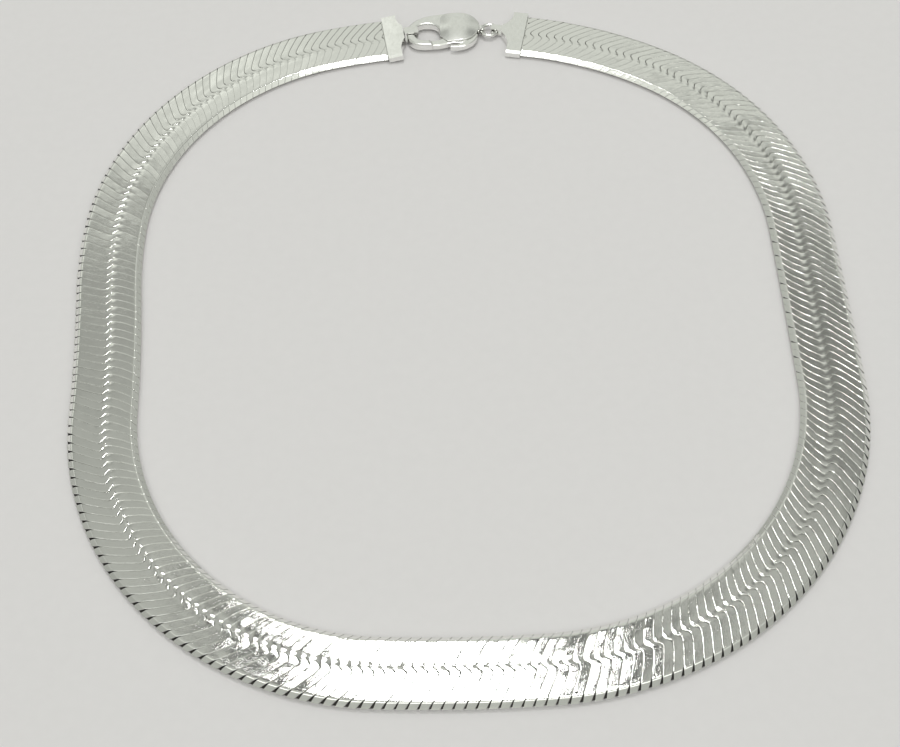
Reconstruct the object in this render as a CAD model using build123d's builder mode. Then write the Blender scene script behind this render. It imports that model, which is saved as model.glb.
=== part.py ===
from build123d import *
import math
import os

os.makedirs("parts", exist_ok=True)

# Flat herringbone necklace lying closed on a surface, seen from above.
# Millimetres, Z up, z = 0 is the surface. The origin is the middle of the
# lying loop. X runs along the clasp, Y away from the wearer's front.

# ---------------------------------------------------------------- chain sizes
BAND_W = 13.5          # widest part of the band
BAND_T = 1.65          # thickness of the band
SHOULDER = 0.95        # width of the bevel along each edge
LINKS = 252            # links between the two caps
STRETCHES = 9          # solids that the links are joined into
CHAIN_START = 2.62     # where the full section begins, along the route
CHAIN_END = 477.30     # where it ends
ROUTE_LEN = 479.4
LINK_GAP = 0.16        # width of the groove between two links
GROOVE_DEEP = 0.28
STRETCH_GAP = 0.12
REACH = 8.2            # how far a slanting end reaches past its middle
NOTCH_IN = 5.65        # how far out the edge notches begin

# route of the band's centre line, anticlockwise from the left cap:
# rows of tangent arcs (run along the arc in mm, turn in degrees)
ROUTE_X, ROUTE_Y, ROUTE_HEADING = -13.787, 79.804, 187.15
ROUTE = (
    # run, turn
    (15.76, 7.67),
    (38.86, 37.33),
    (37.45, 36.57),
    (17.91, 8.14),
    (29.46, -4.02),
    (32.42, 32.28),
    (38.63, 38.25),
    (12.95, 14.11),
    (31.21, 5.72),
    (28.27, 25.34),
    (31.27, 29.79),
    (32.62, 31.23),
    (39.07, 1.10),
    (21.51, 18.69),
    (39.21, 39.09),
    (29.25, 20.85),
    (4.00, 0.00),
)

# lean of the grooves between links along the route, degrees off square, in the
# outer and the inner half of the band
LEAN = (
    # at, outer, inner
    (0.0, 44.0, 28.0),
    (20.0, 40.0, 28.0),
    (45.0, 36.0, 30.0),
    (70.0, 30.0, 32.0),
    (95.0, 24.0, 25.0),
    (115.0, 20.0, 22.0),
    (130.0, 18.0, 24.0),
    (142.0, 28.0, 26.0),
    (160.0, 34.0, 28.0),
    (185.0, 37.0, 31.0),
    (205.0, 37.0, 32.0),
    (225.0, 34.0, 30.0),
    (245.0, 28.0, 26.0),
    (262.0, 25.0, 26.0),
    (280.0, 27.0, 30.0),
    (305.0, 34.0, 32.0),
    (340.0, 39.0, 33.0),
    (360.0, 42.0, 33.0),
    (400.0, 41.0, 33.0),
    (430.0, 40.0, 34.0),
    (460.0, 44.0, 36.0),
    (480.0, 46.0, 37.0),
)

# course of one groove across the band: how far each lean has carried it, and
# the hook in the middle (outer side positive)
COURSE = (
    # across, outer run, inner run, shift
    (7.3, -6.35, 0.00, 0.45),
    (1.9, -0.95, 0.00, 0.45),
    (1.1, -0.25, 0.00, 0.47),
    (0.4, 0.00, 0.00, 0.50),
    (-0.1, 0.00, 0.00, 0.28),
    (-0.75, 0.00, 0.00, -0.45),
    (-1.6, 0.00, 0.38, -0.57),
    (-3.4, 0.00, 1.95, -0.57),
    (-7.3, 0.00, 7.50, -0.57),
)
PAIRED = (345.0, 389.0)    # where only every second groove opens at the edges

# ------------------------------------------------------------------ cap sizes
CAP_LONG = 3.4         # along the band
CAP_HALF = 7.1         # half the width over the side lips
CAP_T = 2.1            # height over both sheets
CAP_LIP = 0.5          # bevel of the upper edges
CAP_SHEET = 0.3
POCKET_LONG = 2.6
POCKET_HALF = 6.5
TONGUE_HALF = 6.20     # thinned end of the band, inside the cap
TONGUE_Z = (0.72, 1.50)

# ---------------------------------------------------------------- clasp sizes
PIVOT_X, PIVOT_Y = -0.857, 78.344   # hinge of the lever
ARM_Z = (0.45, 2.45)   # hook arm, bottom and top
DOME_Z = (0.15, 3.0)  # oval body at its middle
SLOT_Z = (0.70, 2.20)
LEVER_Z = (0.78, 2.12)
TIP_R = 4.60           # reach of the gate from its hinge
NOSE_R = 4.72          # where the hook's nose begins
HUB_HOLE_R = 0.50
PIN_R = 0.45
PIN_SEAT_R = 0.47
EYE_X, EYE_Y, EYE_Z = 7.40, 3.75, 1.25
EYE_R, EYE_HOLE_R, EYE_T = 1.05, 0.65, 1.2

RING_X, RING_Y, RING_Z = 8.443, 81.994, 1.25
RING_R, RING_WIRE_R = 1.90, 0.45


# --------------------------------------------------------------- route of band
def corners():
    """Start of each arc: distance, x, y, heading in radians, run, turn."""
    rows, s, x, y, h = [], 0.0, ROUTE_X, ROUTE_Y, math.radians(ROUTE_HEADING)
    for run, turn in ROUTE:
        rows.append((s, x, y, h, run, math.radians(turn)))
        x, y, h = along(x, y, h, run, math.radians(turn), run)
        s += run
    return rows


def along(x, y, h, run, turn, part):
    """Point and heading after part of an arc."""
    if abs(turn) < 1e-9:
        return x + part * math.cos(h), y + part * math.sin(h), h
    r = run / turn
    g = h + part / r
    return x + r * (math.sin(g) - math.sin(h)), y - r * (math.cos(g) - math.cos(h)), g


ROWS = corners()


def at(s):
    """Point, heading and curvature of the centre line at a distance."""
    row = ROWS[0]
    for other in ROWS:
        if other[0] <= s:
            row = other
    start, x, y, h, run, turn = row
    x, y, h = along(x, y, h, run, turn, s - start)
    return x, y, h, turn / run


def spot(s, across, z=0.0):
    """Point at a distance along the band and an offset across it."""
    x, y, h, bend = at(s)
    return (x + across * math.sin(h), y - across * math.cos(h), z)


def looked_up(table, s):
    """Row of a table at a place between its rows, without the first column."""
    for a, b in zip(table, table[1:]):
        if s <= b[0] or b is table[-1]:
            k = min(max((s - a[0]) / (b[0] - a[0]), 0.0), 1.0)
            return [p + k * (q - p) for p, q in zip(a[1:], b[1:])]


def offset_at(s, across):
    """How far a groove that belongs at s lies along the band, at an offset across it."""
    outer, inner = (math.tan(math.radians(a)) for a in looked_up(LEAN, s))
    rows = sorted(COURSE)
    out_run, in_run, shift = looked_up(rows, across)
    return out_run * outer + in_run * inner + shift


def band_plane(s):
    """Plane square to the band, x across it and inward, y up."""
    x, y, h, bend = at(s)
    return Plane(origin=(x, y, 0), x_dir=(-math.sin(h), math.cos(h), 0),
                 z_dir=(math.cos(h), math.sin(h), 0))


def arcs_between(s0, s1):
    """Pieces of the route between two distances: start, middle, end."""
    cuts = [s0] + [row[0] for row in ROWS if s0 + 0.01 < row[0] < s1 - 0.01] + [s1]
    return [(spot(a, 0), spot((a + b) / 2, 0), spot(b, 0), abs(at((a + b) / 2)[3]) < 1e-9)
            for a, b in zip(cuts, cuts[1:])]


PITCH = (CHAIN_END - CHAIN_START) / LINKS


def groove(i, wide):
    """Outline in plan of the groove between link i-1 and link i."""
    s = CHAIN_START + i * PITCH
    line = [(s + offset_at(s, row[0]), row[0]) for row in COURSE]
    there = [spot(a - wide / 2, v)[:2] for a, v in line]
    back = [spot(a + wide / 2, v)[:2] for a, v in reversed(line)]
    return there + back


def notch(i, side):
    """Outline of the open notch between two links at one edge of the band."""
    s = CHAIN_START + i * PITCH
    far, near = side * (BAND_W / 2 + 0.25), side * NOTCH_IN
    a, b = s + offset_at(s, far), s + offset_at(s, near)
    bend = at(min(max(a, 0), ROUTE_LEN))[3] * side
    wide = 0.22 + max(bend, 0) * 20.0
    return [spot(a - wide / 2, far)[:2], spot(a + wide / 2, far)[:2], spot(b, near)[:2]]


def notch_fits(i, side):
    """Whether a notch is there: clear of both ends, and open where links are paired."""
    s = CHAIN_START + i * PITCH
    ends = [s + offset_at(s, side * v) for v in (BAND_W / 2 + 0.25, NOTCH_IN)]
    paired = PAIRED[0] < ends[0] < PAIRED[1]
    return min(ends) > CHAIN_START + 1.0 and max(ends) < CHAIN_END - 1.0 and not (paired and i % 2)


def cut_off(i, side):
    """Area beyond the division i: side -1 is before it, +1 after it."""
    s = CHAIN_START + i * PITCH
    line = [spot(s + offset_at(s, row[0]) - side * STRETCH_GAP / 2, row[0])[:2] for row in COURSE]
    away = spot(s + side * 15.5, 0)
    x, y, h, bend = at(s)
    c, d = math.cos(h), math.sin(h)
    ends = [(away[0] + v * d, away[1] - v * c) for v in (-12.0, 12.0)]
    return line + ends


def section(half, bottom, top, bevel):
    """Points of the band's six-sided section."""
    mid = (bottom + top) / 2
    return [(-half, mid), (-half + bevel, top), (half - bevel, top), (half, mid),
            (half - bevel, bottom), (-half + bevel, bottom)]


# ------------------------------------------------------------ chain stretches
per = LINKS // STRETCHES
chain = []
for k in range(STRETCHES):
    first, last = k * per, (k + 1) * per
    s0 = CHAIN_START if k == 0 else CHAIN_START + first * PITCH - REACH
    s1 = CHAIN_END if k == STRETCHES - 1 else CHAIN_START + last * PITCH + REACH
    with BuildPart() as stretch:
        with BuildLine() as route:
            for a, m, b, straight in arcs_between(s0, s1):
                if straight:
                    Line(a, b)
                else:
                    ThreePointArc(a, m, b)
        with BuildSketch(band_plane(s0)):
            with BuildLine():
                Polyline(*section(BAND_W / 2, 0, BAND_T, SHOULDER), close=True)
            make_face()
        sweep(path=route.wires()[0])
        # ends that follow the groove between two links
        ends = ([cut_off(first, -1)] if k > 0 else []) + \
               ([cut_off(last, 1)] if k < STRETCHES - 1 else [])
        with BuildSketch(Plane.XY.offset(-1)):
            for outline in ends:
                with BuildLine():
                    Polyline(*outline, close=True)
                make_face()
        extrude(amount=4, mode=Mode.SUBTRACT)
        # grooves between the links on the upper face
        inner = range(first + (1 if k else -4), last + (0 if k < STRETCHES - 1 else 5))
        with BuildSketch(Plane.XY.offset(BAND_T - GROOVE_DEEP)):
            for i in inner:
                with BuildLine():
                    Polyline(*groove(i, LINK_GAP), close=True)
                make_face()
        extrude(amount=1, mode=Mode.SUBTRACT)
        # open notches along both edges
        with BuildSketch(Plane.XY.offset(-1)):
            for i in inner:
                for side in (1, -1):
                    if notch_fits(i, side):
                        with BuildLine():
                            Polyline(*notch(i, side), close=True)
                        make_face()
        extrude(amount=4, mode=Mode.SUBTRACT)
        # thinned ends that go into the caps
        if k == 0 or k == STRETCHES - 1:
            t0, t1 = (0.25, CHAIN_START + 0.3) if k == 0 else (CHAIN_END - 0.3, ROUTE_LEN)
            run = t1 - t0
            with BuildSketch(band_plane(t0)):
                with BuildLine():
                    Polyline(*section(TONGUE_HALF, TONGUE_Z[0], TONGUE_Z[1], 0.4), close=True)
                make_face()
            extrude(amount=run)
    stretch.part.label = f"chain_{k + 1}"
    export_step(stretch.part, f"parts/chain_{k + 1}.step")
    chain.append(stretch)


# -------------------------------------------------------------------- end caps
def turned(origin, heading, tilt):
    """Cap frame: x toward the clasp, y across, z up, raised toward the clasp."""
    c, s, ct, st = math.cos(heading), math.sin(heading), math.cos(tilt), math.sin(tilt)
    return Plane(origin=origin, x_dir=(c * ct, s * ct, st), z_dir=(-c * st, -s * st, ct))


def side_of(frame, across):
    """Plane standing along a cap frame's x and z, at an offset across it."""
    o = frame.origin + frame.y_dir * across
    return Plane(origin=o, x_dir=frame.x_dir, z_dir=frame.y_dir * -1)


def end_cap(origin, heading, tilt, flare, strap, loop, shift):
    """One folded cap: box over the band's end, flare, and strap folded to a loop.

    flare: (length, half width at its narrow end); strap: (half width, thickness)
    loop: (near x, far x, bottom z, top z) of the space inside the folded strap,
    in the frame that lies flat; shift: how far the strap stands across the middle.
    """
    tilted = turned(origin, heading, tilt)
    flat = turned(origin, heading, 0)
    half, thick = strap
    near, far, low, high = loop
    long, narrow = flare
    with BuildPart() as cap:
        # box with bevelled side lips
        across = Plane(origin=tilted.origin, x_dir=tilted.y_dir, z_dir=tilted.x_dir)
        with BuildSketch(across):
            with BuildLine():
                Polyline((-CAP_HALF, 0.35), (-CAP_HALF + 0.35, 0), (CAP_HALF - 0.35, 0),
                         (CAP_HALF, 0.35), (CAP_HALF, CAP_T - CAP_LIP),
                         (CAP_HALF - CAP_LIP, CAP_T), (-CAP_HALF + CAP_LIP, CAP_T),
                         (-CAP_HALF, CAP_T - CAP_LIP), close=True)
            make_face()
        extrude(amount=CAP_LONG)
        # flare, hollow-curved on both sides, down to the strap
        with BuildSketch(tilted):
            with BuildLine():
                a = (CAP_LONG - 0.05, CAP_HALF - CAP_LIP)
                b = (CAP_LONG + long, shift + narrow)
                c = (CAP_LONG + long, shift - narrow)
                d = (CAP_LONG - 0.05, -CAP_HALF + CAP_LIP)
                ThreePointArc(a, (CAP_LONG + 0.36 * long, shift + narrow + 0.26 * (CAP_HALF - shift - narrow)), b)
                Line(b, c)
                ThreePointArc(c, (CAP_LONG + 0.36 * long, shift - narrow - 0.26 * (CAP_HALF + shift - narrow)), d)
                Polyline(d, (CAP_LONG - 0.6, d[1]), (CAP_LONG - 0.6, a[1]), a)
            make_face()
        extrude(amount=CAP_T)
        # pocket for the band's end
        with BuildSketch(tilted.offset(CAP_SHEET)):
            with Locations((POCKET_LONG / 2 - 0.5, 0)):
                Rectangle(POCKET_LONG + 1.0, 2 * POCKET_HALF)
        extrude(amount=CAP_T - 2 * CAP_SHEET, mode=Mode.SUBTRACT)
        # strap folded over and back
        with BuildSketch(side_of(flat, shift)):
            with BuildLine():
                Polyline((near - thick, low - thick), (far + thick, low - thick),
                         (far + thick, high + thick), (near - thick, high + thick), close=True)
            make_face()
        extrude(amount=half, both=True)
        with BuildSketch(side_of(flat, shift)):
            with BuildLine():
                Polyline((near, low), (far, low), (far, high), (near, high), close=True)
            make_face()
        extrude(amount=half + 2.5, both=True, mode=Mode.SUBTRACT)
    return cap


LEFT_TILT = math.radians(8.0)
left_at = at(2.27)
left_frame_origin = (left_at[0], left_at[1] - 0.1, 0)
end_cap_left = end_cap(left_frame_origin, left_at[2] + math.pi, LEFT_TILT,
                       flare=(1.2, 2.2), strap=(1.10, 0.32),
                       loop=(4.75, 7.42, 0.33, 2.60), shift=0.45)
end_cap_left.part.label = "end_cap_left"
export_step(end_cap_left.part, "parts/end_cap_left.step")

right_at = at(477.40)
right_frame_origin = (right_at[0], right_at[1], 0)
end_cap_right = end_cap(right_frame_origin, right_at[2], 0.0,
                        flare=(2.0, 1.3), strap=(0.85, 0.30),
                        loop=(5.60, 7.80, 0.62, 1.88), shift=-0.6)
end_cap_right.part.label = "end_cap_right"
export_step(end_cap_right.part, "parts/end_cap_right.step")

# ------------------------------------------------------------------- jump ring
with BuildPart() as jump_ring:
    with BuildSketch(Plane(origin=(RING_X, RING_Y, RING_Z), x_dir=(1, 0, 0), z_dir=(0, -1, 0))):
        with Locations((RING_R, 0)):
            Circle(RING_WIRE_R)
    revolve(axis=Axis((RING_X, RING_Y, RING_Z), (0, 0, 1)))
jump_ring.part.label = "jump_ring"
export_step(jump_ring.part, "parts/jump_ring.step")

# ----------------------------------------------------------------------- clasp
# plan outlines, measured from the lever's hinge
CLAW_BACK = (           # outside of the hook, body to nose
    # x, y
    (0.6, 8.45), (-1.2, 8.40), (-3.2, 8.10), (-6.2, 7.35), (-7.7, 6.5), (-9.0, 5.3), (-9.9, 3.9),
    (-10.2, 2.4), (-10.1, 0.8), (-9.5, -0.7), (-8.5, -1.7), (-7.2, -2.2), (-5.7, -2.3),
)
CLAW_EYE = (            # inside of the hook, nose to body
    # x, y
    (-5.7, -0.6), (-6.8, -0.45), (-7.8, 0.25), (-8.3, 1.3), (-8.45, 2.4), (-8.1, 3.65),
    (-6.9, 4.65), (-5.4, 4.9), (-4.0, 4.7), (-3.0, 4.0), (-2.45, 3.0), (-2.3, 1.8),
    (-2.3, 0.8),
)
BODY_FRONT = (          # body's near side, hinge to tail
    # x, y
    (-0.45, -1.1), (0.8, -1.08), (2.3, -1.0), (3.8, -0.6), (5.0, 0.1), (5.9, 1.1),
    (6.6, 2.2), (7.0, 2.85),
)


def from_hinge(points):
    return [(x + PIVOT_X, y + PIVOT_Y) for x, y in points]


def on_circle(radius, y):
    """Point left of the hinge at a radius and a height."""
    return (-math.sqrt(radius * radius - y * y), y)


with BuildPart() as dome:
    with BuildSketch(Plane.XY.offset(DOME_Z[0])):
        with BuildLine():
            back = from_hinge([(7.0, 5.0), (6.2, 6.4), (5.2, 7.5), (3.8, 8.35), (1.8, 8.65), (-0.6, 8.52)])
            front = from_hinge(BODY_FRONT)
            Spline(*back)
            Spline(back[-1], *from_hinge([(-2.0, 7.4), (-2.4, 5.2), (-2.35, 3.0), (-2.3, 0.8)]))
            Line(from_hinge([(-2.3, 0.8)])[0], front[0])
            Spline(*front)
            Line(front[-1], back[0])
        make_face()
    extrude(amount=DOME_Z[1] - DOME_Z[0])
    middle = (PIVOT_X + 2.1, PIVOT_Y + 4.0)
    with Locations((middle[0], middle[1], DOME_Z[1] - 26.0)):
        Sphere(radius=26.0, mode=Mode.INTERSECT)
    with Locations((middle[0], middle[1], DOME_Z[0] + 20.0)):
        Sphere(radius=20.0, mode=Mode.INTERSECT)
    # rounded upper rim, along the back, the near side and the tail
    rim = [e for e in dome.edges() if e.center().Z > 1.8 and e.geom_type != GeomType.LINE
           and e.center().X > PIVOT_X - 1.2]
    fillet(rim, radius=0.26)

with BuildPart() as clasp_body:
    # hook arm in plan, running into the body
    with BuildSketch(Plane.XY.offset(ARM_Z[0])):
        with BuildLine():
            back = from_hinge(CLAW_BACK + (on_circle(NOSE_R, -2.28),))
            inside = from_hinge((on_circle(NOSE_R, -0.5),) + CLAW_EYE)
            Spline(*back)
            middle_nose = from_hinge([on_circle(NOSE_R, -1.4)])[0]
            ThreePointArc(back[-1], middle_nose, inside[0])
            Spline(*inside)
            Line(inside[-1], back[0])
        make_face()
    extrude(amount=ARM_Z[1] - ARM_Z[0])
    fillet(clasp_body.faces().sort_by(Axis.Z)[-1].edges(), radius=0.35)
    fillet(clasp_body.faces().sort_by(Axis.Z)[0].edges(), radius=0.35)
    add(dome.part)
    # tail eye
    with BuildSketch(Plane(origin=(PIVOT_X + EYE_X, PIVOT_Y + EYE_Y, EYE_Z), x_dir=(1, 0, 0), z_dir=(0, -1, 0))):
        Circle(EYE_R)
    extrude(amount=EYE_T / 2, both=True)
    with BuildSketch(Plane(origin=(PIVOT_X + EYE_X, PIVOT_Y + EYE_Y, EYE_Z), x_dir=(1, 0, 0), z_dir=(0, -1, 0))):
        Circle(EYE_HOLE_R)
    extrude(amount=3, both=True, mode=Mode.SUBTRACT)
    # slot for the lever, open along the near side
    with BuildSketch(Plane.XY.offset(SLOT_Z[0])):
        with BuildLine():
            Polyline(*from_hinge([(-4.3, -4.0), (-3.4, -0.2), (-2.9, 1.5), (-0.9, 1.9), (1.3, 1.5), (3.4, 1.4),
                                  (4.7, 1.9), (5.7, 2.75), (6.5, 2.6), (8.2, 1.6), (8.2, -4.0)]), close=True)
        make_face()
    extrude(amount=SLOT_Z[1] - SLOT_Z[0], mode=Mode.SUBTRACT)
    # blind seats for the hinge pin in both cheeks
    with BuildSketch(Plane.XY.offset(0.40)):
        with Locations((PIVOT_X, PIVOT_Y)):
            Circle(PIN_SEAT_R)
    extrude(amount=2.12, mode=Mode.SUBTRACT)
clasp_body.part.label = "clasp_body"
export_step(clasp_body.part, "parts/clasp_body.step")

# gate, hub and thumb tab in one flat piece
with BuildPart() as clasp_lever:
    with BuildSketch(Plane.XY.offset(LEVER_Z[0])):
        with BuildLine():
            tip_out, tip_mid, tip_in = from_hinge([on_circle(TIP_R, -2.2), on_circle(TIP_R, -1.3), on_circle(TIP_R, -0.55)])
            ThreePointArc(tip_out, tip_mid, tip_in)
            upper = from_hinge([(-3.2, -0.45), (-2.4, -0.2), (-1.6, 0.45), (-0.7, 0.85)])
            Spline(tip_in, *upper)
            web = from_hinge([(0.2, 0.95), (1.6, 0.75), (3.4, 0.75), (4.7, 1.25), (5.7, 2.1)])
            Spline(upper[-1], *web)
            outer = from_hinge([(6.5, 1.9), (6.6, 1.3), (6.3, 0.3), (5.7, -0.75), (4.8, -1.65), (3.8, -2.25),
                                (2.8, -2.6), (1.4, -2.72), (0.1, -2.6)])
            Line(web[-1], outer[0])
            Spline(*outer)
            inner = from_hinge([(0.1, -2.25), (1.4, -1.95), (2.65, -1.38)])
            Line(outer[-1], inner[0])
            Spline(*inner)
            low = from_hinge([(0.9, -1.2), (0.15, -1.38), (-1.2, -1.8), (-2.7, -2.2)])
            Line(inner[-1], low[0])
            Line(low[0], low[1])
            Spline(*low[1:])
            Line(low[-1], tip_out)
        make_face()
    extrude(amount=LEVER_Z[1] - LEVER_Z[0])
    chamfer(clasp_lever.faces().sort_by(Axis.Z)[-1].edges(), length=0.2)
    with Locations((PIVOT_X, PIVOT_Y, (LEVER_Z[0] + LEVER_Z[1]) / 2)):
        Cylinder(radius=HUB_HOLE_R, height=3, mode=Mode.SUBTRACT)
clasp_lever.part.label = "clasp_lever"
export_step(clasp_lever.part, "parts/clasp_lever.step")

with BuildPart() as clasp_pin:
    with BuildSketch(Plane.XY.offset(0.42)):
        with Locations((PIVOT_X, PIVOT_Y)):
            Circle(PIN_R)
    extrude(amount=2.08)
clasp_pin.part.label = "clasp_pin"
export_step(clasp_pin.part, "parts/clasp_pin.step")
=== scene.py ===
import math
import random

import bpy
import numpy as np
from mathutils import Matrix, Vector


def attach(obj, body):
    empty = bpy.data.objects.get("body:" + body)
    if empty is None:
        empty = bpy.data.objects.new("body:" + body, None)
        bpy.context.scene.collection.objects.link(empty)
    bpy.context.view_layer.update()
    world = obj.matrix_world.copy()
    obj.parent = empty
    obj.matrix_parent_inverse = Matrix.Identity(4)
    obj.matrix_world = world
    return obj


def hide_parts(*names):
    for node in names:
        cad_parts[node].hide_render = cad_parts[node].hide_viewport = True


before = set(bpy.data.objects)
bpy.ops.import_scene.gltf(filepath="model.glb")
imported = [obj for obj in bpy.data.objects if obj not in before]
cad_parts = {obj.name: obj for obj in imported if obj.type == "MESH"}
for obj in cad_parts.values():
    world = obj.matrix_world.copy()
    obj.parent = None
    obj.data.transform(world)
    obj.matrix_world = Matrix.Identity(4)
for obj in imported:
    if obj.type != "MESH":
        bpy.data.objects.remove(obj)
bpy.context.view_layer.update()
MM = 0.001

# ------------------------------------------------------------------ the chain
# the same sizes and route as the solids, millimetres
BAND_W, BAND_T, SHOULDER = 13.5, 1.65, 0.95
LINKS, STRETCHES = 252, 9
CHAIN_START, CHAIN_END, ROUTE_LEN = 2.62, 477.30, 479.4
ROUTE_X, ROUTE_Y, ROUTE_HEADING = -13.787, 79.804, 187.15
ROUTE = (
    # run, turn
    (15.76, 7.67), (38.86, 37.33), (37.45, 36.57), (17.91, 8.14), (29.46, -4.02), (32.42, 32.28),
    (38.63, 38.25), (12.95, 14.11), (31.21, 5.72), (28.27, 25.34), (31.27, 29.79), (32.62, 31.23),
    (39.07, 1.10), (21.51, 18.69), (39.21, 39.09), (29.25, 20.85), (4.00, 0.00),
)
# lean of the divisions, degrees off square, in the outer and the inner half
LEAN = (
    # at, outer, inner
    (0, 44, 28), (20, 40, 28), (45, 36, 30), (70, 30, 32), (95, 24, 25), (115, 20, 22), (130, 18, 24), (142, 28, 26),
    (160, 34, 28), (185, 37, 31), (205, 37, 32), (225, 34, 30), (245, 28, 26), (262, 25, 26), (280, 27, 30),
    (305, 34, 32), (340, 39, 33), (360, 42, 33), (400, 41, 33), (430, 40, 34), (460, 44, 36), (480, 46, 37),
)
COURSE = (
    # across, outer run, inner run, shift
    (-7.3, 0.00, 7.50, -0.57), (-6.0, 0.00, 5.45, -0.57), (-4.8, 0.00, 3.62, -0.57), (-3.4, 0.00, 1.95, -0.57),
    (-2.4, 0.00, 1.02, -0.57), (-1.6, 0.00, 0.38, -0.57), (-1.1, 0.00, 0.08, -0.54), (-0.75, 0.00, 0.00, -0.43),
    (-0.4, 0.00, 0.00, -0.10), (-0.1, 0.00, 0.00, 0.26), (0.15, 0.00, 0.00, 0.44), (0.4, 0.00, 0.00, 0.51),
    (0.75, -0.07, 0.00, 0.50), (1.1, -0.25, 0.00, 0.47), (1.5, -0.58, 0.00, 0.45), (1.9, -0.95, 0.00, 0.45),
    (7.3, -6.35, 0.00, 0.45),
)
PAIRED = (345.0, 389.0)
PITCH = (CHAIN_END - CHAIN_START) / LINKS
# half section, offset across against depth below the upper face
FALL = (
    # across, fall
    (0.0, 0.0), (5.62, 0.0), (5.74, 0.012), (5.84, 0.06), (5.95, 0.15), (6.62, 0.715), (6.72, 0.79), (6.75, 0.815),
)
GAP = (0.040, 0.10, 0.010)    # between two links: outer half, extra at the hook, inner half
OUTER_GAP = (0.36, 14.0)   # open notch at the outer edge, plus its growth with curvature
INNER_GAP = 0.10
DROP = 0.08            # how far a link's rounded edge goes down
CROWN = 0.001          # how much higher a link is along its middle
HOOK_DIP = (0.05, 0.085)    # slope and its growth where a link dips towards its hooked corners
ROLL = 0.9             # how far links lie out of true, degrees
WORN = ((0, 0.40), (170, 0.40), (192, 1.0), (280, 1.0), (300, 0.40), (480, 0.40))   # along the route, share of it


def start_rows():
    rows, s, x, y, h = [], 0.0, ROUTE_X, ROUTE_Y, math.radians(ROUTE_HEADING)
    for run, turn in ROUTE:
        k = math.radians(turn) / run
        rows.append((s, x, y, h, k))
        g = h + k * run
        if abs(k) < 1e-9:
            x, y = x + run * math.cos(h), y + run * math.sin(h)
        else:
            x, y = x + (math.sin(g) - math.sin(h)) / k, y - (math.cos(g) - math.cos(h)) / k
        s, h = s + run, g
    return np.array(rows)


ROWS = start_rows()


def spots(s, v):
    """Plan points at distances s along the band and offsets v across it."""
    row = ROWS[np.clip(np.searchsorted(ROWS[:, 0], s, side="right") - 1, 0, len(ROWS) - 1)]
    d, h, k = s - row[..., 0], row[..., 3], row[..., 4]
    safe = np.where(np.abs(k) < 1e-9, 1.0, k)
    g = h + d * k
    x = np.where(np.abs(k) < 1e-9, row[..., 1] + d * np.cos(h), row[..., 1] + (np.sin(g) - np.sin(h)) / safe)
    y = np.where(np.abs(k) < 1e-9, row[..., 2] + d * np.sin(h), row[..., 2] - (np.cos(g) - np.cos(h)) / safe)
    return x + v * np.sin(g), y - v * np.cos(g)


def bend_at(s):
    return float(ROWS[np.clip(np.searchsorted(ROWS[:, 0], s, side="right") - 1, 0, len(ROWS) - 1)][4])


def looked_up(table, s, column=1):
    return np.interp(s, [r[0] for r in table], [r[column] for r in table])


def division(s, v):
    """Where the division that belongs at s lies along the band, at offsets v."""
    outer, inner = (math.tan(math.radians(float(looked_up(LEAN, s, c)))) for c in (1, 2))
    return s + looked_up(COURSE, v, 1) * outer + looked_up(COURSE, v, 2) * inner + looked_up(COURSE, v, 3)


ACROSS = np.array([-6.75, -6.70, -6.58, -6.25, -5.95, -5.84, -5.74, -5.55, -5.1, -4.5, -3.9, -3.3, -2.7, -2.2, -1.8,
                   -1.45, -1.15, -0.95, -0.75, -0.58, -0.4, -0.25, -0.1, 0.05, 0.2, 0.4, 0.6, 0.85, 1.1, 1.4, 1.75,
                   2.15, 2.7, 3.3, 3.9, 4.5, 5.0, 5.4, 5.74, 5.84, 5.95, 6.25, 6.58, 6.70, 6.75])


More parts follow.
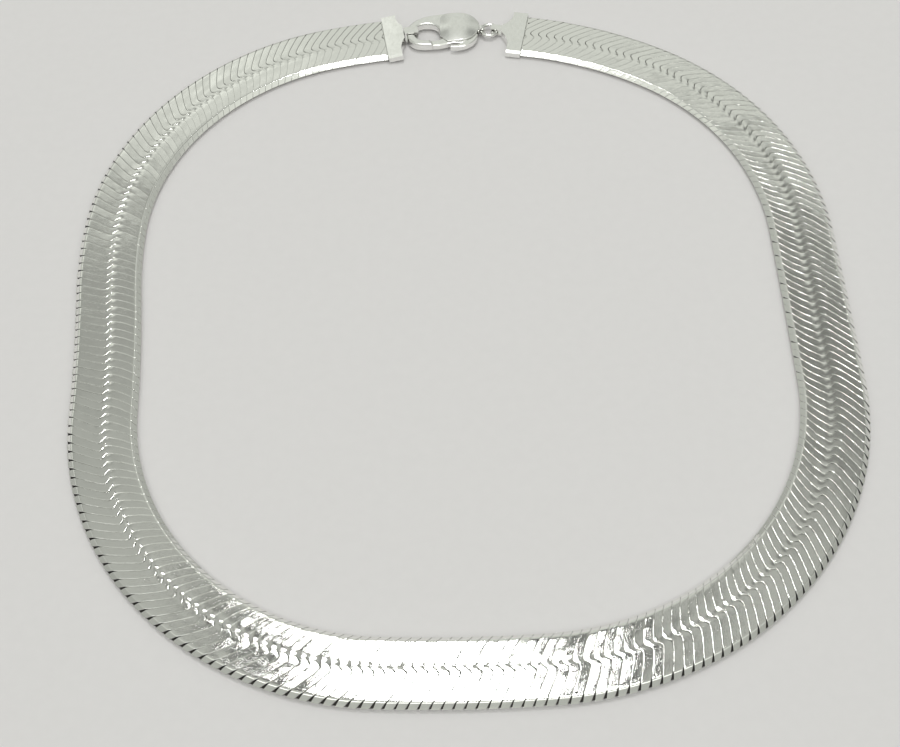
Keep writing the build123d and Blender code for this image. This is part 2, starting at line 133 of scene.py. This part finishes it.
def link_mesh(i, rng):
    """Vertices and faces of link i: a flat S with rounded edges, worn a little out of true."""
    s0 = CHAIN_START + i * PITCH
    v = ACROSS
    start, end = division(s0, v), division(s0 + PITCH, v)
    bend = bend_at(min(max(float(start[-1]), 0), ROUTE_LEN))
    gaps = []
    for which in (i, i + 1):
        outer = OUTER_GAP[0] + max(bend, 0.0) * OUTER_GAP[1]
        inner = INNER_GAP
        if PAIRED[0] < s0 < PAIRED[1]:
            outer, inner = (0.36, 0.40) if which % 2 == 0 else (0.06, 0.05)
        open_out = np.clip((v - 5.3) / 1.3, 0, 1)
        open_in = np.clip((-v - 5.5) / 1.2, 0, 1) ** 1.2
        shut = GAP[2] + (GAP[0] - GAP[2]) * np.clip((v + 0.9) / 1.2, 0, 1) + GAP[1] * np.exp(-(v / 0.4) ** 2)
        gaps.append(shut + (outer - shut) * open_out + (inner - shut) * open_in)
    left = np.clip(start + gaps[0] / 2, CHAIN_START, CHAIN_END)
    right = np.clip(end - gaps[1] / 2, CHAIN_START, CHAIN_END)
    keep = np.nonzero(right - left > 0.12)[0]
    if len(keep) < 3:
        return None
    keep = slice(keep[0], keep[-1] + 1)
    v, left, right = v[keep], left[keep], right[keep]
    middle = (left + right) / 2
    lean = np.cos(np.arctan(np.gradient(middle, v)))
    wide = np.maximum(right - left, 0.05) * np.clip(lean, 0.6, 1.0)
    bump = np.exp(-((v + 0.25) / 0.62) ** 2)
    down = np.clip(-0.35 - v, 0, 0.6)
    dip = (HOOK_DIP[0] * down + HOOK_DIP[1] * down ** 2) * np.clip((v + 1.65) / 0.6, 0, 1)
    fall = np.interp(np.abs(v), [r[0] for r in FALL], [r[1] for r in FALL])
    flat = np.clip(1.0 - fall / 0.815, 0, 1)
    # across the link: distance in from its edge, how far that lies below the top, share of the dip
    edges = ((0.0, DROP, 1.0), (0.012, 0.5 * DROP, 1.0), (0.032, 0.2 * DROP, 1.0), (0.058, 0.07 * DROP, 0.97),
             (0.086, 0.01 * DROP, 0.94), (0.118, 0.0, 0.9), (0.42, 0.0, 0.4))
    share, low, dips = [], [], []
    loose = float(looked_up(WORN, s0))
    closed = 1 - np.interp(s0, (90, 130, 400, 430), (0.55, 0.0, 0.0, 0.55)) * np.clip((-0.8 - v) / 0.6, 0, 1)
    for inset, depth, part in edges:
        share.append(np.minimum(inset * (1 + 0.5 * bump) * (0.5 + 0.5 * closed) / wide, 0.49))
        low.append(depth * (1 + 0.6 * bump) * closed)
        dips.append(part * dip)
    share = share + [0.5 + 0 * v] + [1 - f for f in share[::-1]]
    low = low + [0 * v] + low[::-1]
    dips = dips + [0 * v] + dips[::-1]
    rings = []
    for face in (1, -1):
        roll = math.radians(rng.gauss(0, ROLL)) * loose
        pitch = math.radians(rng.gauss(0, 0.15))
        w1, w2, w3 = (rng.uniform(0, 6.28) for _ in range(3))
        wave = abs(rng.gauss(0, 0.010)) * np.sin(v * 1.25 + w1) + abs(rng.gauss(0, 0.005)) * np.sin(v * 2.9 + w2)
        wave = wave * loose
        twist = math.radians(rng.gauss(0, 0.7)) * np.sin(v * 0.9 + w3) * loose
        ripples = [rng.gauss(0, 0.006) * np.sin(v * 2.6 + rng.uniform(0, 6.28)) for _ in range(2)]
        sides = []
        for share_k, low_k, dip_k in zip(share, low, dips):
            across = (share_k - 0.5) * wide
            crown = CROWN * (2 * (share_k - 0.5)) ** 2
            raised = (math.tan(roll) + twist) * across + (math.tan(pitch) * v + wave) - crown - dip_k
            if abs(share_k[len(v) // 2] - 0.5) > 0.3:
                raised = raised + ripples[0 if share_k[len(v) // 2] < 0.5 else 1]
            depth = fall + low_k * (0.4 + 0.6 * flat) - np.clip(raised * flat, -0.22, 0.05)
            depth = np.clip(depth, -0.045, BAND_T / 2 - 0.01)
            z = BAND_T - depth if face > 0 else depth
            sides.append((left + share_k * (right - left), z))
        rings += sides if face > 0 else sides[::-1]
    n, m = len(v), len(rings)
    pts = np.zeros((n, m, 3))
    uv = np.zeros((n, m, 2))
    for k, (s, z) in enumerate(rings):
        x, y = spots(s, v)
        pts[:, k, 0], pts[:, k, 1], pts[:, k, 2] = x, y, np.maximum(z, 0.0)
        uv[:, k, 0], uv[:, k, 1] = v, s - middle + 3.7 * i
    faces, walls = [], []
    for a in range(n - 1):
        for k in range(m):
            j = (k + 1) % m
            faces.append((a * m + k, (a + 1) * m + k, (a + 1) * m + j, a * m + j))
            # the two side walls of each link take material 1, painted shade for the grooves between links
            walls.append(1 if k in (m // 2 - 1, m - 1) else 0)
    faces.append(tuple(range(m)))
    faces.append(tuple((n - 1) * m + k for k in range(m - 1, -1, -1)))
    return pts.reshape(-1, 3), uv.reshape(-1, 2), faces, walls + [0, 0]


def core_mesh(s0, s1, half, flat_half, low, high, step, shade):
    """A dark solid inside the weave, painted shade standing in for the shadow between the links, and the thinned ends
    inside the caps.
    """
    n = max(2, int((s1 - s0) / step) + 1)
    s = np.linspace(s0, s1, n)
    pts = np.zeros((n, 6, 3))
    middle = (low + high) / 2
    for k, (v, z) in enumerate(((-flat_half, low), (flat_half, low), (half, middle), (flat_half, high),
                                (-flat_half, high), (-half, middle))):
        x, y = spots(s, np.full(n, v))
        pts[:, k, 0], pts[:, k, 1], pts[:, k, 2] = x, y, z
    faces = [(a * 6 + k, (a + 1) * 6 + k, (a + 1) * 6 + (k + 1) % 6, a * 6 + (k + 1) % 6)
             for a in range(n - 1) for k in range(6)]
    faces += [tuple(range(6)), tuple((n - 1) * 6 + k for k in range(5, -1, -1))]
    return pts.reshape(-1, 3), np.zeros((n * 6, 2)), faces, [shade] * len(faces)


def joined(name, pieces, mats, sharp=28.0):
    """One object from (points, uv, faces, material indices) pieces; points in mm."""
    verts, uvs, faces, index, base = [], [], [], [], 0
    for pts, uv, fs, shades in pieces:
        verts.append(pts)
        uvs.append(uv)
        faces += [tuple(base + c for c in f) for f in fs]
        index += shades
        base += len(pts)
    verts, uvs = np.concatenate(verts) * MM, np.concatenate(uvs)
    mesh = bpy.data.meshes.new(name)
    mesh.from_pydata(verts.tolist(), [], faces)
    for mat in mats:
        mesh.materials.append(mat)
    mesh.polygons.foreach_set("material_index", index)
    layer = mesh.uv_layers.new(name="band")
    loops = np.zeros(len(mesh.loops), dtype=np.int32)
    mesh.loops.foreach_get("vertex_index", loops)
    layer.data.foreach_set("uv", uvs[loops].ravel())
    mesh.polygons.foreach_set("use_smooth", [True] * len(mesh.polygons))
    mesh.update()
    mesh.set_sharp_from_angle(angle=math.radians(sharp))
    obj = bpy.data.objects.new(name, mesh)
    bpy.context.scene.collection.objects.link(obj)
    return obj


# ------------------------------------------------------------------ materials
def new_material(name):
    mat = bpy.data.materials.new(name)
    mat.use_nodes = True
    nodes, links = mat.node_tree.nodes, mat.node_tree.links
    return mat, nodes, links, nodes["Principled BSDF"]


def ramp(nodes, links, value, low, high, out_low, out_high):
    node = nodes.new("ShaderNodeMapRange")
    node.inputs["From Min"].default_value = low
    node.inputs["From Max"].default_value = high
    node.inputs["To Min"].default_value = out_low
    node.inputs["To Max"].default_value = out_high
    links.new(value, node.inputs["Value"])
    return node.outputs["Result"]


def noise(nodes, links, vector, scale, detail=3.0, rough=0.55):
    node = nodes.new("ShaderNodeTexNoise")
    node.inputs["Scale"].default_value = scale
    node.inputs["Detail"].default_value = detail
    node.inputs["Roughness"].default_value = rough
    links.new(vector, node.inputs["Vector"])
    return node.outputs["Fac"]


def stretched(nodes, links, vector, scale):
    node = nodes.new("ShaderNodeMapping")
    node.inputs["Scale"].default_value = scale
    links.new(vector, node.inputs["Vector"])
    return node.outputs["Vector"]


def silver(name, tone, rough, streak, use_band):
    """Worn polished silver: cloudy wear in the gloss, fine scratches, faint dullness."""
    mat, nodes, links, bsdf = new_material(name)
    coords = nodes.new("ShaderNodeTexCoord")
    place = coords.outputs["Object"]
    cloud = noise(nodes, links, place, 160.0)
    if use_band:
        grain_place = stretched(nodes, links, coords.outputs["UV"], (0.8, 9.0, 1.0))
    else:
        grain_place = stretched(nodes, links, place, (1500.0, 900.0, 1500.0))
    grain = noise(nodes, links, grain_place, 1.0, 4.0, 0.6)
    mix = nodes.new("ShaderNodeMath")
    mix.operation = "ADD"
    links.new(ramp(nodes, links, cloud, 0.3, 0.7, rough[0], rough[1]), mix.inputs[0])
    links.new(ramp(nodes, links, grain, 0.3, 0.75, 0.0, streak), mix.inputs[1])
    links.new(mix.outputs["Value"], bsdf.inputs["Roughness"])
    tint = nodes.new("ShaderNodeMix")
    tint.data_type = "RGBA"
    tint.inputs["A"].default_value = (tone[0], tone[1], tone[2], 1.0)
    tint.inputs["B"].default_value = (tone[0] * 0.93, tone[1] * 0.93, tone[2] * 0.92, 1.0)
    links.new(ramp(nodes, links, grain, 0.35, 0.8, 0.0, 1.0), tint.inputs["Factor"])
    links.new(tint.outputs["Result"], bsdf.inputs["Base Color"])
    bsdf.inputs["Metallic"].default_value = 1.0
    bump = nodes.new("ShaderNodeBump")
    bump.inputs["Strength"].default_value = 0.2 if use_band else 0.08
    bump.inputs["Distance"].default_value = 0.00004
    links.new(grain, bump.inputs["Height"])
    links.new(bump.outputs["Normal"], bsdf.inputs["Normal"])
    return mat


band_silver = silver("band_silver", (0.925, 0.925, 0.90), (0.02, 0.055), 0.025, True)
fitting_silver = silver("fitting_silver", (0.94, 0.94, 0.92), (0.07, 0.13), 0.03, False)

# Painted shade: a near-black material on the links' side walls and on the core under the grooves and notches, standing
# in for the shadow inside the weave.
painted_shade_mat, dark_nodes, dark_links, dark_bsdf = new_material("groove_painted_shade")
dark_coords = dark_nodes.new("ShaderNodeTexCoord")
dark_noise = noise(dark_nodes, dark_links, dark_coords.outputs["Object"], 900.0)
dark_mix = dark_nodes.new("ShaderNodeMix")
dark_mix.data_type = "RGBA"
dark_mix.inputs["A"].default_value = (0.020, 0.019, 0.018, 1.0)
dark_mix.inputs["B"].default_value = (0.060, 0.056, 0.052, 1.0)
dark_links.new(dark_noise, dark_mix.inputs["Factor"])
dark_links.new(dark_mix.outputs["Result"], dark_bsdf.inputs["Base Color"])
dark_bsdf.inputs["Metallic"].default_value = 0.8
dark_bsdf.inputs["Roughness"].default_value = 0.5

# --------------------------------------------------------------- chain pieces
rng = random.Random(7)
per = LINKS // STRETCHES
for k in range(STRETCHES):
    first = k * per - (6 if k == 0 else 0)
    last = (k + 1) * per + (7 if k == STRETCHES - 1 else 0)
    pieces = []
    for i in range(first, last):
        made = link_mesh(i, rng)
        if made:
            pieces.append(made)
    core0 = CHAIN_START + 0.1 if k == 0 else CHAIN_START + k * per * PITCH
    core1 = CHAIN_END - 0.1 if k == STRETCHES - 1 else CHAIN_START + (k + 1) * per * PITCH
    # the core takes material 1, painted shade seen down the grooves and notches
    pieces.append(core_mesh(core0, core1, 6.58, 5.55, 0.36, 1.29, 1.2, 1))
    if k == 0:
        pieces.append(core_mesh(0.25, CHAIN_START + 0.3, 6.2, 5.8, 0.72, 1.50, 0.6, 0))
    if k == STRETCHES - 1:
        pieces.append(core_mesh(CHAIN_END - 0.3, ROUTE_LEN, 6.2, 5.8, 0.72, 1.50, 0.6, 0))
    links_obj = joined(f"links_{k + 1}", pieces, (band_silver, painted_shade_mat))
    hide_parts(f"chain_{k + 1}")
    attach(links_obj, "necklace")

clasp_silver = silver("clasp_silver", (0.94, 0.94, 0.92), (0.13, 0.20), 0.04, False)

# caps, ring and clasp show as they are in the frame
for name in ("end_cap_left", "end_cap_right", "jump_ring", "clasp_body", "clasp_lever", "clasp_pin"):
    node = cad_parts[name]
    node.data.materials.clear()
    node.data.materials.append(clasp_silver if name == "clasp_body" else fitting_silver)
    node.data.polygons.foreach_set("use_smooth", [True] * len(node.data.polygons))
    node.data.set_sharp_from_angle(angle=math.radians(24))

# ---------------------------------------------------------------------- stage
floor_mat, fn, fl, fb = new_material("pale_floor")
fc = fn.new("ShaderNodeTexCoord")
fnoise = noise(fn, fl, fc.outputs["Object"], 420.0, 5.0, 0.6)
fmix = fn.new("ShaderNodeMix")
fmix.data_type = "RGBA"
fmix.inputs["A"].default_value = (0.745, 0.725, 0.735, 1.0)
fmix.inputs["B"].default_value = (0.785, 0.765, 0.775, 1.0)
fl.new(fnoise, fmix.inputs["Factor"])
fl.new(fmix.outputs["Result"], fb.inputs["Base Color"])
fb.inputs["Roughness"].default_value = 0.75
fbump = fn.new("ShaderNodeBump")
fbump.inputs["Strength"].default_value = 0.1
fbump.inputs["Distance"].default_value = 0.0001
fl.new(fnoise, fbump.inputs["Height"])
fl.new(fbump.outputs["Normal"], fb.inputs["Normal"])

floor_mesh = bpy.data.meshes.new("floor")
floor_mesh.from_pydata([(-1.2, -1.0, -0.00003), (1.2, -1.0, -0.00003), (1.2, 1.4, -0.00003), (-1.2, 1.4, -0.00003)], [], [(0, 1, 2, 3)])
floor_mesh.materials.append(floor_mat)
floor = bpy.data.objects.new("floor", floor_mesh)
bpy.context.scene.collection.objects.link(floor)


def area_light(name, place, aim, size, power, tint=(1, 1, 1)):
    data = bpy.data.lights.new(name, "AREA")
    data.shape = "RECTANGLE"
    data.size, data.size_y = size
    data.energy = power
    data.color = tint
    obj = bpy.data.objects.new(name, data)
    way = Vector(aim) - Vector(place)
    obj.matrix_world = Matrix.Translation(place) @ way.to_track_quat("-Z", "Y").to_matrix().to_4x4()
    bpy.context.scene.collection.objects.link(obj)
    return obj


def card(name, place, aim, size, shade):
    """A plain card that the metal mirrors, out of the picture."""
    half_w, half_h = size[0] / 2, size[1] / 2
    mesh = bpy.data.meshes.new(name)
    mesh.from_pydata([(-half_w, -half_h, 0), (half_w, -half_h, 0), (half_w, half_h, 0), (-half_w, half_h, 0)], [], [(0, 1, 2, 3)])
    mat, nodes, links, bsdf = new_material(name)
    bsdf.inputs["Base Color"].default_value = (shade, shade, shade, 1.0)
    bsdf.inputs["Roughness"].default_value = 0.9
    mesh.materials.append(mat)
    obj = bpy.data.objects.new(name, mesh)
    way = Vector(aim) - Vector(place)
    obj.matrix_world = Matrix.Translation(place) @ way.to_track_quat("-Z", "Y").to_matrix().to_4x4()
    bpy.context.scene.collection.objects.link(obj)
    return obj


CAM = (-0.002057, -0.183156, 0.2370)
world = bpy.data.worlds.new("studio")
bpy.context.scene.world = world
world.use_nodes = True
wn, wl = world.node_tree.nodes, world.node_tree.links
back = wn["Background"]
wc = wn.new("ShaderNodeTexCoord")
sep = wn.new("ShaderNodeSeparateXYZ")
wl.new(wc.outputs["Generated"], sep.inputs["Vector"])


def steps(stops):
    """A row of light levels over the height of the direction looked at."""
    node = wn.new("ShaderNodeValToRGB")
    row = node.color_ramp.elements
    for k, (at, level) in enumerate(stops):
        mark = row[k] if k < 2 else row.new(at)
        mark.position = at
        mark.color = (level, level, level, 1.0)
    wl.new(sep.outputs["Z"], node.inputs["Fac"])
    return node.outputs["Color"]


def mixed(factor, a, b):
    node = wn.new("ShaderNodeMix")
    node.data_type = "RGBA"
    wl.new(factor, node.inputs["Factor"])
    wl.new(a, node.inputs["A"])
    wl.new(b, node.inputs["B"])
    return node.outputs["Result"]


left_side = steps(((0.0, 0.40), (0.60, 0.55), (0.660, 1.0), (0.674, 0.71), (0.700, 0.66), (0.718, 0.66), (0.725, 0.37),
                   (0.755, 0.32), (0.800, 0.40), (0.860, 0.45), (0.900, 0.49), (1.0, 0.49)))
right_side = steps(((0.0, 0.40), (0.60, 0.50), (0.660, 0.75), (0.690, 0.63), (0.709, 0.56), (0.718, 0.34), (0.738, 0.27),
                    (0.767, 0.215), (0.797, 0.20), (0.828, 0.31), (0.862, 0.46), (1.0, 0.46)))
front_side = steps(((0.0, 0.30), (0.55, 0.50), (0.70, 0.75), (0.85, 0.85), (0.93, 1.0), (1.0, 1.0)))
far_side = steps(((0.0, 0.64), (0.64, 0.68), (0.87, 0.66), (0.89, 0.49), (1.0, 0.49)))
over = mixed(ramp(wn, wl, sep.outputs["X"], -0.08, 0.08, 0.0, 1.0), left_side, right_side)
off = wn.new("ShaderNodeMath")
off.operation = "ABSOLUTE"
wl.new(sep.outputs["X"], off.inputs[0])
over = mixed(ramp(wn, wl, off.outputs["Value"], 0.10, 0.15, 1.0, 0.0), over, far_side)
level = mixed(ramp(wn, wl, sep.outputs["Y"], 0.10, -0.12, 0.0, 1.0), over, front_side)
tinted = wn.new("ShaderNodeMix")
tinted.data_type = "RGBA"
tinted.blend_type = "MULTIPLY"
tinted.inputs["Factor"].default_value = 1.0
tinted.inputs["B"].default_value = (0.972, 1.0, 0.925, 1.0)
wl.new(level, tinted.inputs["A"])
wl.new(tinted.outputs["Result"], back.inputs["Color"])
back.inputs["Strength"].default_value = 1.0

area_light("key", (-0.040, 0.355, 1.0), (-0.040, 0.355, 0.0), (0.16, 0.13), 1.1)
area_light("kicker", (0.075, 0.215, 1.0), (0.075, 0.215, 0.0), (0.10, 0.13), 0.9)
area_light("front_fill", (0.0, -0.62, 1.0), (0.0, 0.0, 0.0), (1.5, 0.3), 2.6)
card("flag_left", (-0.165, 0.37, 0.97), (-0.165, 0.37, 0.0), (0.085, 0.16), 0.03)
card("flag_right", (0.105, 0.37, 0.97), (0.105, 0.37, 0.0), (0.11, 0.16), 0.03)
card("flag_front", (0.0, -1.15, 0.24), (0.0, 0.0, 0.1), (2.2, 0.38), 0.14)
bpy.context.scene.view_settings.view_transform = "Standard"

# --------------------------------------------------------------------- camera
cam_data = bpy.data.cameras.new("camera")
cam_data.sensor_width = 36.0
cam_data.lens = 57.98
cam_data.clip_start = 0.01
cam = bpy.data.objects.new("camera", cam_data)
down, roll = math.radians(54.94), math.radians(-0.873)
ahead = Vector((0.0, math.cos(down), -math.sin(down)))
up = Vector((0.0, math.sin(down), math.cos(down)))
right = Vector((math.cos(roll), 0, 0)) + up * math.sin(roll)
top = Vector((-math.sin(roll), 0, 0)) + up * math.cos(roll)
cam.matrix_world = Matrix.Translation(CAM) @ Matrix((right, top, -ahead)).transposed().to_4x4()
bpy.context.scene.collection.objects.link(cam)
bpy.context.scene.camera = cam
